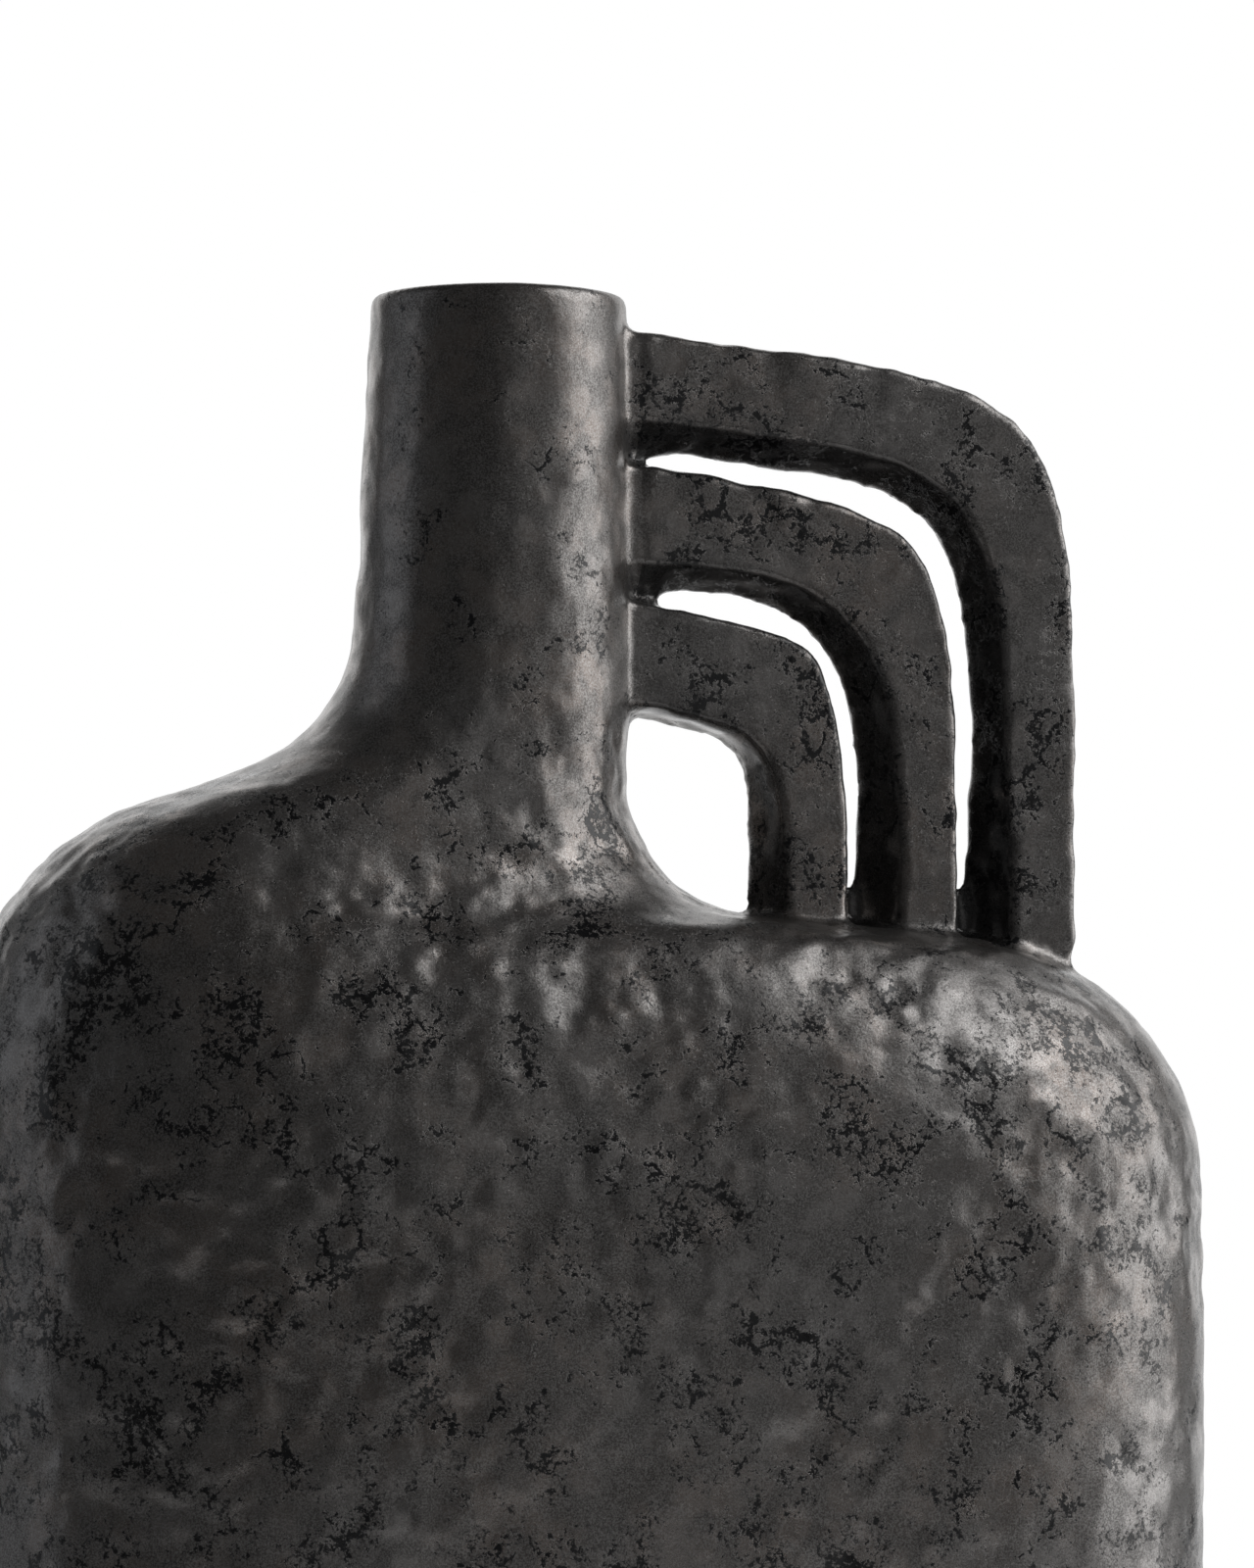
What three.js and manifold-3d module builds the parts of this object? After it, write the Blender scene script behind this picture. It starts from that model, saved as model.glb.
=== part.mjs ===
// Flattened ceramic bottle vase with an off-centre round neck and three nested strap handles.
// Millimetres, +Z up, +X towards the handles, -Y to the front. The origin is under the middle of the body.
import * as THREE from 'three';
import { mergeVertices } from 'three/addons/utils/BufferGeometryUtils.js';
import Module from 'manifold-3d';

const manifold = await Module();
manifold.setup();

// Body
const bodyWidth = 302;
const bodyDepth = 128;
const endFullness = 0.9;
const wall = 5.5;
const floorThickness = 10;
const baseBend = 28;
const footHeight = 4;
const footWidth = 9;
const footInset = 7;
const footDraft = 1;

// Shoulders, each measured where its slope would meet the neck
const rightShoulderZ = 286.5;
const rightShoulderFall = 13.5;
const rightNeckBend = 31;
const rightShoulderBend = 62;
const shoulderStep = 40.2;
const leftShoulderFall = 29.5;
const leftNeckBend = 38;
const leftShoulderBend = 58;

// Front and back, which swell from the neck to the full depth below the shoulders
const swellDrop = 5;
const swellLength = 58;
const frontNeckBend = 60;
const frontShoulderBend = 130;

// Neck
const neckOffset = 24;
const neckTopRadius = 31;
const neckFootLeft = 36.5;
const neckFootRight = 32.2;
const neckFootFront = 33;
const rimAboveHandles = 8.8;

// Seams where the thrown and slab-built parts are luted together
const wallSeamDrop = 52;
const neckSeamDrop = 3.5;

// Handles
const handleDepth = 25;
const handleReach = 140.9;
const handleFall = 12.3;
const fingerGapHeight = 46.9;
const edgeRadius = 1.6;
const outerRidge = 0.8;
const ridgeWidth = 1.4;
const webAtNeck = 8.5;
const webAtFoot = 18;
const webWidth = 9;
const rootDepth = 14;
const seatGap = 0.3;
const webGap = 0.5;

// From the outside in: thickness of the bar and of the upright, how far each bend reaches along them from
// the corner and how full it is, how far the inner ridge stands out, and the slot underneath
const straps = [
  {
    name: 'handle_outer', barAtNeck: 22, barAtCorner: 19.7, upright: 17.9,
    outerBend: { reach: 65, drop: 80, fullness: 1.95 }, innerBend: { reach: 59, drop: 92, fullness: 2.2 },
    barRidge: 5.5, uprightRidge: 5.4, slotAtNeck: 9.6, slotAtCorner: 12.3, slotAtFoot: 11.6,
  },
  {
    name: 'handle_middle', barAtNeck: 25.4, barAtCorner: 13.5, upright: 15.4,
    outerBend: { reach: 56, drop: 85, fullness: 2.5 }, innerBend: { reach: 52, drop: 63, fullness: 1.3 },
    barRidge: 4.7, uprightRidge: 7, slotAtNeck: 7.1, slotAtCorner: 18, slotAtFoot: 12.2,
  },
  {
    name: 'handle_inner', barAtNeck: 25.7, barAtCorner: 22.6, upright: 16.4,
    outerBend: { reach: 20, drop: 60, fullness: 1.45 }, innerBend: { reach: 17, drop: 38, fullness: 1.55 },
    barRidge: 2, uprightRidge: 6.3, slotAtNeck: 0, slotAtCorner: 0, slotAtFoot: 0,
  },
];

// Fineness of the facets
const ringPoints = 56;
const arcSteps = 7;
const levelSpacing = 2.2;
const lipSteps = 6;
const barSteps = 5;
const bendSteps = 12;
const uprightSteps = 8;

// Heights and reaches that follow from the sizes above
const strapStack = straps.reduce((sum, strap) => sum + strap.barAtNeck + strap.slotAtNeck, 0);
const handleTopZ = rightShoulderZ + fingerGapHeight + strapStack;
const height = handleTopZ + rimAboveHandles;
const leftShoulderZ = rightShoulderZ + shoulderStep;
const baseSeamZ = footHeight + floorThickness;
const wallSeamZ = rightShoulderZ - wallSeamDrop;
const neckSeamZ = leftShoulderZ - neckSeamDrop;

const glaze = new THREE.MeshStandardMaterial({ color: 0x3a3837, roughness: 0.42, metalness: 0.55 });
const bareClay = new THREE.MeshStandardMaterial({ color: 0x8f8276, roughness: 0.9, metalness: 0 });

/** One side of the vase, from rim to base, as reach from the neck axis or the middle against height. */
class Profile {
  constructor(points) {
    this.points = points;
  }

  /** A run of straight lines whose corners are rounded by their bend radius. */
  static fromCorners(corners) {
    const points = [corners[0].place.clone()];
    for (let i = 1; i < corners.length - 1; i++) {
      const { place, bend } = corners[i];
      const before = corners[i - 1].place.clone().sub(place).normalize();
      const after = corners[i + 1].place.clone().sub(place).normalize();
      const half = Math.acos(THREE.MathUtils.clamp(before.dot(after), -1, 1)) / 2;
      const tangent = bend / Math.tan(half);
      const centre = before.clone().add(after).normalize().multiplyScalar(bend / Math.sin(half)).add(place);
      const start = place.clone().addScaledVector(before, tangent).sub(centre);
      const end = place.clone().addScaledVector(after, tangent).sub(centre);
      const turn = Math.atan2(start.cross(end), start.dot(end));
      for (let step = 0; step <= arcSteps; step++) {
        points.push(start.clone().rotateAround(new THREE.Vector2(), (turn * step) / arcSteps).add(centre));
      }
    }
    points.push(corners[corners.length - 1].place.clone());
    return new Profile(points);
  }

  /** The same line moved square to itself, into the wall when the distance is negative. */
  offset(distance) {
    const last = this.points.length - 1;
    return new Profile(this.points.map((point, i) => {
      const along = this.points[Math.min(i + 1, last)].clone().sub(this.points[Math.max(i - 1, 0)]);
      return new THREE.Vector2(-along.y, along.x).normalize().multiplyScalar(distance).add(point);
    }));
  }

  /** Reach at one height. */
  at(z) {
    const { points } = this;
    let i = 1;
    while (i < points.length - 1 && points[i].y > z) i++;
    const [above, below] = [points[i - 1], points[i]];
    return THREE.MathUtils.mapLinear(z, above.y, below.y, above.x, below.x);
  }

  /** Height at one reach. */
  heightAt(reach) {
    const { points } = this;
    let i = 1;
    while (i < points.length - 1 && points[i].x < reach) i++;
    const [above, below] = [points[i - 1], points[i]];
    return THREE.MathUtils.mapLinear(reach, above.x, below.x, above.y, below.y);
  }
}

const corner = (x, z, bend = 0) => ({ place: new THREE.Vector2(x, z), bend });
const leftReach = bodyWidth / 2 - neckOffset;
const rightReach = bodyWidth / 2 + neckOffset;
const leftSwellZ = leftShoulderZ - swellDrop;
const rightSwellZ = rightShoulderZ + swellDrop;

/** Front or back under one shoulder, from the neck to the full depth. */
function depthCorners(swellZ) {
  return [
    corner(neckTopRadius, height),
    corner(neckFootFront, swellZ, frontNeckBend),
    corner(bodyDepth / 2, swellZ - swellLength, frontShoulderBend),
    corner(bodyDepth / 2, footHeight, baseBend),
    corner(0, footHeight),
  ];
}

const outside = {
  left: Profile.fromCorners([
    corner(neckTopRadius, height),
    corner(neckFootLeft, leftShoulderZ, leftNeckBend),
    corner(leftReach, leftShoulderZ - leftShoulderFall, leftShoulderBend),
    corner(leftReach, footHeight, baseBend),
    corner(0, footHeight),
  ]),
  right: Profile.fromCorners([
    corner(neckTopRadius, height),
    corner(neckFootRight, rightShoulderZ, rightNeckBend),
    corner(rightReach, rightShoulderZ - rightShoulderFall, rightShoulderBend),
    corner(rightReach, footHeight, baseBend),
    corner(0, footHeight),
  ]),
  leftDepth: Profile.fromCorners(depthCorners(leftSwellZ)),
  rightDepth: Profile.fromCorners(depthCorners(rightSwellZ)),
};

/** All four sides moved in or out by one distance. */
function offsetSides(sides, distance) {
  return Object.fromEntries(Object.entries(sides).map(([side, profile]) => [side, profile.offset(distance)]));
}

const inside = offsetSides(outside, -wall);

/** Level section: a circle at the neck, and a long oval with round ends lower down. */
class Section extends THREE.Curve {
  constructor(left, right, leftDepth, rightDepth, z) {
    super();
    Object.assign(this, { left, right, leftDepth, rightDepth, z });
  }

  getPoint(t, target = new THREE.Vector3()) {
    const angle = 2 * Math.PI * t;
    const along = Math.cos(angle);
    const half = (this.right + this.left) / 2;
    const endDepth = along < 0 ? this.leftDepth : this.rightDepth;
    const share = Math.sign(along) * Math.abs(along) ** ((endDepth / half) ** endFullness);
    const blend = THREE.MathUtils.smoothstep(share, -1, 1);
    const depth = THREE.MathUtils.lerp(this.leftDepth, this.rightDepth, blend);
    const middle = (this.right - this.left) / 2 - neckOffset;
    return target.set(middle + half * share, depth * Math.sin(angle), this.z);
  }
}

/** Evenly spaced points round one level, part of the way from the outside to the inside of the wall. */
function ring(z, sides, innerSides = sides, share = 0) {
  const reach = (side) => THREE.MathUtils.lerp(sides[side].at(z), innerSides[side].at(z), share);
  const section = new Section(reach('left'), reach('right'), reach('leftDepth'), reach('rightDepth'), z);
  return section.getSpacedPoints(ringPoints).slice(0, ringPoints);
}

/** A ring moved towards its own middle by a distance, at another height. */
function insetRing(points, distance, z) {
  return points.map((point, i) => {
    const next = points[(i + 1) % points.length];
    const previous = points[(i + points.length - 1) % points.length];
    const normal = new THREE.Vector2(next.y - previous.y, previous.x - next.x).normalize();
    return new THREE.Vector3(point.x - normal.x * distance, point.y - normal.y * distance, z);
  });
}

/** Heights between two levels at which any side bends, from the lowest up. */
function levels(sides, bottom, top) {
  const bends = Object.values(sides).flatMap((profile) => profile.points.map((point) => point.y));
  const list = [bottom];
  for (const z of bends.sort((a, b) => a - b)) {
    if (z > list[list.length - 1] + levelSpacing && z < top - levelSpacing) list.push(z);
  }
  return [...list, top];
}

/** A closed surface through rings of equally many points: joined end to end, or capped at both ends. */
function loft(rings, capped) {
  const count = rings[0].length;
  const positions = rings.flat().flatMap((point) => [point.x, point.y, point.z]);
  const index = [];
  for (let i = 0; i < (capped ? rings.length - 1 : rings.length); i++) {
    const row = i * count;
    const nextRow = ((i + 1) % rings.length) * count;
    for (let j = 0; j < count; j++) {
      const k = (j + 1) % count;
      index.push(row + j, row + k, nextRow + k, row + j, nextRow + k, nextRow + j);
    }
  }
  if (capped) {
    for (const [end, points] of [rings[0], rings[rings.length - 1]].entries()) {
      const middle = positions.length / 3;
      const centre = points.reduce((sum, point) => sum.add(point), new THREE.Vector3()).divideScalar(count);
      positions.push(centre.x, centre.y, centre.z);
      const row = end * (rings.length - 1) * count;
      for (let j = 0; j < count; j++) {
        const edge = [row + j, row + ((j + 1) % count)];
        index.push(middle, ...(end === 0 ? edge.reverse() : edge));
      }
    }
  }
  const geometry = new THREE.BufferGeometry();
  geometry.setAttribute('position', new THREE.Float32BufferAttribute(positions, 3));
  geometry.setIndex(index);
  return geometry;
}

/** Wall between two levels, open at both ends. */
function shell(bottom, top) {
  const outer = levels(outside, bottom, top).map((z) => ring(z, outside));
  const inner = levels(inside, bottom, top).map((z) => ring(z, inside));
  return loft([...outer, ...inner.reverse()], false);
}

function makeFootRing() {
  const edge = ring(footHeight, outside);
  const rings = [
    insetRing(edge, footInset + footDraft, 0),
    insetRing(edge, footInset, footHeight),
    insetRing(edge, footInset + footWidth, footHeight),
    insetRing(edge, footInset + footWidth - footDraft, 0),
  ];
  return loft(rings, false);
}

function makeBase() {
  return loft(levels(outside, footHeight, baseSeamZ).map((z) => ring(z, outside)), true);
}

/** Neck with its flared foot, and a rounded lip as wide as the wall. */
function makeNeck() {
  const lipRadius = wall / 2;
  const lipFoot = height - lipRadius;
  const outer = levels(outside, neckSeamZ, lipFoot).map((z) => ring(z, outside));
  const inner = levels(inside, neckSeamZ, lipFoot).map((z) => ring(z, inside));
  const lip = [];
  for (let step = 1; step < lipSteps; step++) {
    const angle = (Math.PI * step) / lipSteps;
    lip.push(ring(lipFoot + lipRadius * Math.sin(angle), outside, inside, (1 - Math.cos(angle)) / 2));
  }
  return loft([...outer, ...lip, ...inner.reverse()], false);
}

/** One edge of a strap in the middle plane: out from the neck, round the bend and down into the shoulder. */
function strapEdge(neckZ, cornerZ, reach, bend) {
  const neckX = neckTopRadius - neckOffset;
  const neckEnd = new THREE.Vector2(neckX, neckZ);
  const turn = new THREE.Vector2(reach, cornerZ);
  const back = neckEnd.clone().sub(turn).normalize();
  const start = neckEnd.clone().addScaledVector(back, neckTopRadius * 0.6);
  const bendStart = turn.clone().addScaledVector(back, bend.reach);
  const bendEnd = new THREE.Vector2(reach, cornerZ - bend.drop);
  const foot = new THREE.Vector2(reach, outside.right.heightAt(reach + neckOffset) - rootDepth);
  const round = [];
  for (let step = 1; step < bendSteps; step++) {
    const t = step / bendSteps;
    const weights = [(1 - t) ** 2, 2 * bend.fullness * t * (1 - t), t ** 2];
    const point = bendStart.clone().multiplyScalar(weights[0]);
    point.addScaledVector(turn, weights[1]).addScaledVector(bendEnd, weights[2]);
    round.push(point.divideScalar(weights[0] + weights[1] + weights[2]));
  }
  const bar = new THREE.LineCurve(start, bendStart);
  const upright = new THREE.LineCurve(bendEnd, foot);
  return [...bar.getPoints(barSteps), ...round, ...upright.getPoints(uprightSteps)];
}

/** Section of a strap: flat faces, rounded edges, and sides that lean out to a ridge in the middle plane. */
function strapSection(outerPoint, innerPoint, ridgePoint, width) {
  const thickness = outerPoint.distanceTo(innerPoint);
  const across = innerPoint.clone().sub(outerPoint).normalize();
  const face = handleDepth / 2;
  const half = [
    [thickness, face - edgeRadius],
    [thickness - edgeRadius * 0.3, face - edgeRadius * 0.3],
    [thickness - edgeRadius, face],
    [edgeRadius, face],
    [edgeRadius * 0.3, face - edgeRadius * 0.3],
    [0, face - edgeRadius],
  ];
  const outline = [...half, [-outerRidge, 0], ...half.map(([u, y]) => [u, -y]).reverse()];
  const place = ([u, y]) => new THREE.Vector3(outerPoint.x + across.x * u, y, outerPoint.y + across.y * u);
  const ridge = [width / 2, -width / 2].map((y) => new THREE.Vector3(ridgePoint.x, y, ridgePoint.y));
  return [ridge[0], ...outline.map(place), ridge[1]];
}

/** A point beside a strap edge, square to it and on the side that the strap bends to. */
function besideEdge(edge, i, distance) {
  const along = edge[Math.min(i + 1, edge.length - 1)].clone().sub(edge[Math.max(i - 1, 0)]).normalize();
  return new THREE.Vector2(edge[i].x + along.y * distance, edge[i].y - along.x * distance);
}

/** Closeness of a place on a strap to its two ends, where webs close the slot: 1 in the web and 0 past it. */
function webShares(point) {
  const fromNeck = point.x - (neckTopRadius - neckOffset);
  const fromShoulder = point.y - outside.right.heightAt(Math.max(point.x + neckOffset, neckFootRight));
  return {
    neck: 1 - THREE.MathUtils.smoothstep(fromNeck, webAtNeck / 2, webAtNeck * 1.5),
    foot: 1 - THREE.MathUtils.smoothstep(fromShoulder, webAtFoot / 2, webAtFoot * 1.5),
  };
}

/** Sections along one strap. */
function strapSections(strap, outer, inner) {
  return outer.map((outerPoint, i) => {
    const turned = THREE.MathUtils.clamp((i - barSteps) / bendSteps, 0, 1);
    const plain = THREE.MathUtils.lerp(strap.barRidge, strap.uprightRidge, turned);
    const web = strap.slotAtNeck > 0 ? webShares(inner[i]) : { neck: 0, foot: 0 };
    const toNext = (slot) => slot - outerRidge - webGap - plain;
    const ridge = plain + toNext(strap.slotAtNeck) * web.neck + toNext(strap.slotAtFoot) * web.foot;
    const width = THREE.MathUtils.lerp(ridgeWidth, webWidth, Math.max(web.neck, web.foot));
    return strapSection(outerPoint, inner[i], besideEdge(inner, i, ridge), width);
  });
}

function solidOf(geometry) {
  const merged = mergeVertices(geometry);
  return new manifold.Manifold(new manifold.Mesh({
    numProp: 3,
    vertProperties: merged.attributes.position.array,
    triVerts: new Uint32Array(merged.index.array),
  }));
}

function geometryOf(solid) {
  const mesh = solid.getMesh();
  const geometry = new THREE.BufferGeometry();
  geometry.setAttribute('position', new THREE.BufferAttribute(mesh.vertProperties, 3));
  geometry.setIndex(new THREE.BufferAttribute(mesh.triVerts, 1));
  return geometry;
}

/** The three straps, each with its ends cut to the neck and the shoulder that it is luted to. */
function makeHandles() {
  const grown = offsetSides(outside, seatGap);
  const heights = [...levels(outside, wallSeamZ, neckSeamZ), ...levels(outside, neckSeamZ, height).slice(1)];
  const vase = solidOf(loft(heights.map((z) => ring(z, grown)), true));
  let neckZ = handleTopZ;
  let cornerZ = handleTopZ - handleFall;
  let reach = handleReach - neckOffset;
  return straps.map((strap) => {
    const outer = strapEdge(neckZ, cornerZ, reach, strap.outerBend);
    neckZ -= strap.barAtNeck;
    cornerZ -= strap.barAtCorner;
    reach -= strap.upright;
    const inner = strapEdge(neckZ, cornerZ, reach, strap.innerBend);
    neckZ -= strap.slotAtNeck;
    cornerZ -= strap.slotAtCorner;
    reach -= strap.slotAtFoot;
    const solid = solidOf(loft(strapSections(strap, outer, inner), true)).subtract(vase);
    return { name: strap.name, geometry: geometryOf(solid) };
  });
}

const vase = new THREE.Group();
const pieces = [
  { name: 'foot_ring', geometry: makeFootRing(), material: bareClay },
  { name: 'base', geometry: makeBase(), material: glaze },
  { name: 'body_wall', geometry: shell(baseSeamZ, wallSeamZ), material: glaze },
  { name: 'shoulder', geometry: shell(wallSeamZ, neckSeamZ), material: glaze },
  { name: 'neck', geometry: makeNeck(), material: glaze },
  ...makeHandles().map((handle) => ({ ...handle, material: glaze })),
];
for (const { name, geometry, material } of pieces) {
  geometry.computeVertexNormals();
  const mesh = new THREE.Mesh(geometry, material);
  mesh.name = name;
  vase.add(mesh);
}

export default vase;
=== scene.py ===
import logging
import math
from dataclasses import dataclass, field
from enum import Enum

import bpy
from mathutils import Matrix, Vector, noise
from mathutils.bvhtree import BVHTree
from mathutils.kdtree import KDTree


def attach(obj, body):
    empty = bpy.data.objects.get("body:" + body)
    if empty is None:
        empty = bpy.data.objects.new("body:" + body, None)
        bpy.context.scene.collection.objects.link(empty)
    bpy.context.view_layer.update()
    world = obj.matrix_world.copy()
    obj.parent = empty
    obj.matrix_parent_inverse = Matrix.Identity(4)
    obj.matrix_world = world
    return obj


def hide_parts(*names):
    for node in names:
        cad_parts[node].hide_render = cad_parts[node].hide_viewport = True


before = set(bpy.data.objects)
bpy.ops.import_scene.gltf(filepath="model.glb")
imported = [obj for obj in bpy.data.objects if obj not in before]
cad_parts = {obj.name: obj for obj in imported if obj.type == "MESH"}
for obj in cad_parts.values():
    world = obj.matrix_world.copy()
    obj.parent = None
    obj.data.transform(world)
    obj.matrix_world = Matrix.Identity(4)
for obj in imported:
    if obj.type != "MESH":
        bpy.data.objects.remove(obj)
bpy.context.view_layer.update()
LOG = logging.getLogger("vase")

MM = 0.001
PER_METRE = 1000
ROUND_SIDES = 96
WELD_REACH = 0.01
FACET_ANGLE = math.radians(30)
FACET_SKEW = math.radians(50)
SHARP_ANGLE = math.radians(50)
SEAM_ANGLE = math.radians(40)

Point = tuple[float, float, float]
Pair = tuple[float, float]
Colour = tuple[float, float, float, float]


class Solver(Enum):
    """How two solids are combined."""

    KEEP_SHARED = "INTERSECT"
    TAKE_AWAY = "DIFFERENCE"
    ADD = "UNION"


class Group(Enum):
    """A part of the surface that is worked in its own way."""

    RIDGE = "ridge"
    STRAPS = "straps"
    SHELL = "shell"
    LIP = "lip"


class CellPart(Enum):
    """What is measured in a pattern of cells."""

    CENTRE = "F1"
    RIM = "DISTANCE_TO_EDGE"


def clamp(value: float, low: float = 0.0) -> float:
    """Keeps a value between a lower limit and 1."""
    return min(1.0, max(low, value))


# Mesh tools


def select_only(*objects: bpy.types.Object) -> None:
    """Selects these objects and no others, and makes the first one active.

    Args:
        objects: the objects that the next operator acts on.
    """
    bpy.ops.object.select_all(action="DESELECT")
    for item in objects:
        item.select_set(True)
    bpy.context.view_layer.objects.active = objects[0]


def apply_modifier(item: bpy.types.Object, kind: str, **settings: object) -> None:
    """Adds one modifier with its settings and applies it.

    Args:
        item: the object that is changed.
        kind: Blender's name of the modifier type.
        settings: the modifier's own properties.
    """
    modifier = item.modifiers.new(kind.lower(), kind)
    for name, value in settings.items():
        setattr(modifier, name, value)
    select_only(item)
    bpy.ops.object.modifier_apply(modifier=modifier.name)


def subdivide(item: bpy.types.Object) -> None:
    """Rounds a coarse mesh with two levels of smooth subdivision."""
    apply_modifier(item, "SUBSURF", levels=2, render_levels=2)


def combine(item: bpy.types.Object, other: bpy.types.Object, solver: Solver) -> None:
    """Combines a solid with another one in place.

    Args:
        item: the solid that is changed.
        other: the solid it is combined with, which stays.
        solver: whether the shared part stays, goes or both are joined.
    """
    apply_modifier(item, "BOOLEAN", operation=solver.value, object=other, solver="MANIFOLD")


def duplicate(item: bpy.types.Object, name: str) -> bpy.types.Object:
    """Copies an object with a mesh of its own.

    Args:
        item: the object to copy.
        name: the name of the copy.

    Returns:
        The copy, free of any parent.
    """
    copy = bpy.data.objects.new(name, item.data.copy())
    bpy.context.scene.collection.objects.link(copy)
    return copy


def remove(*objects: bpy.types.Object) -> None:
    """Deletes helper objects and their meshes."""
    for item in objects:
        bpy.data.meshes.remove(item.data)


def merged_copy(names: list[str], label: str) -> bpy.types.Object:
    """Joins copies of frame nodes into one mesh with shared corners.

    Args:
        names: the nodes to copy.
        label: the name of the new object.

    Returns:
        The new object, whose regular facets are four-sided again.
    """
    copies = [duplicate(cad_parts[name], label) for name in names]
    select_only(*copies)
    if len(copies) > 1:
        bpy.ops.object.join()
    result = bpy.context.view_layer.objects.active
    result.name = label
    bpy.ops.object.mode_set(mode="EDIT")
    bpy.ops.mesh.select_all(action="SELECT")
    bpy.ops.mesh.remove_doubles(threshold=WELD_REACH * MM)
    bpy.ops.mesh.tris_convert_to_quads(face_threshold=FACET_ANGLE, shape_threshold=FACET_SKEW)
    bpy.ops.object.mode_set(mode="OBJECT")
    result.data.materials.clear()
    return result


def box_between(low: Point, high: Point, name: str) -> bpy.types.Object:
    """Adds a box by two corners given in millimetres.

    Args:
        low: its lowest corner.
        high: its highest corner.
        name: the name of the object.

    Returns:
        The box, with its place in its mesh.
    """
    middle = [(a + b) / 2 * MM for a, b in zip(low, high)]
    bpy.ops.object.select_all(action="DESELECT")
    bpy.ops.mesh.primitive_cube_add(size=1, location=middle)
    item = bpy.context.active_object
    item.name = name
    item.scale = [(b - a) * MM for a, b in zip(low, high)]
    bpy.ops.object.transform_apply(location=True, rotation=False, scale=True)
    return item


def cylinder_between(centre: Pair, radius: float, low: float, high: float) -> bpy.types.Object:
    """Adds an upright cylinder, all in millimetres.

    Args:
        centre: x and y of its axis.
        radius: its radius.
        low: height of its bottom.
        high: height of its top.

    Returns:
        The cylinder, with its place in its mesh.
    """
    place = (centre[0] * MM, centre[1] * MM, (low + high) / 2 * MM)
    bpy.ops.object.select_all(action="DESELECT")
    bpy.ops.mesh.primitive_cylinder_add(
        vertices=ROUND_SIDES, radius=radius * MM, depth=(high - low) * MM, location=place
    )
    bpy.ops.object.transform_apply(location=True, rotation=False, scale=False)
    return bpy.context.active_object


def surface_tree(item: bpy.types.Object) -> BVHTree:
    """A search tree of an object's faces."""
    return BVHTree.FromPolygons(
        [v.co.copy() for v in item.data.vertices], [tuple(p.vertices) for p in item.data.polygons]
    )


# Shader tools


class Socket:
    """An output of a shader node that takes part in plain arithmetic."""

    def __init__(self, maker: "Nodes", link: bpy.types.NodeSocket | None) -> None:
        """Keeps the output and the maker that adds further nodes."""
        self.maker = maker
        self.link = link

    def __add__(self, other: object) -> "Socket":
        """Sum."""
        return self.maker.math("ADD", self, other)

    def __radd__(self, other: object) -> "Socket":
        """Sum, reflected."""
        return self.maker.math("ADD", other, self)

    def __sub__(self, other: object) -> "Socket":
        """Difference."""
        return self.maker.math("SUBTRACT", self, other)

    def __rsub__(self, other: object) -> "Socket":
        """Difference, reflected."""
        return self.maker.math("SUBTRACT", other, self)

    def __mul__(self, other: object) -> "Socket":
        """Product."""
        return self.maker.math("MULTIPLY", self, other)

    def __rmul__(self, other: object) -> "Socket":
        """Product, reflected."""
        return self.maker.math("MULTIPLY", other, self)


@dataclass(frozen=True)
class Warp:
    """A noise that bends another pattern, by its size and its reach in millimetres."""

    size: float
    reach: float
    detail: float = 4
    rough: float = 0.65


@dataclass(frozen=True)
class Noise:
    """One noise of a finish, with its size in millimetres."""

    size: float
    detail: float
    rough: float = 0.5
    warp: Warp | None = None


@dataclass(frozen=True)
class Cells:
    """A pattern of round cells, with their size in millimetres."""

    size: float
    warp: Warp
    part: CellPart


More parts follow.
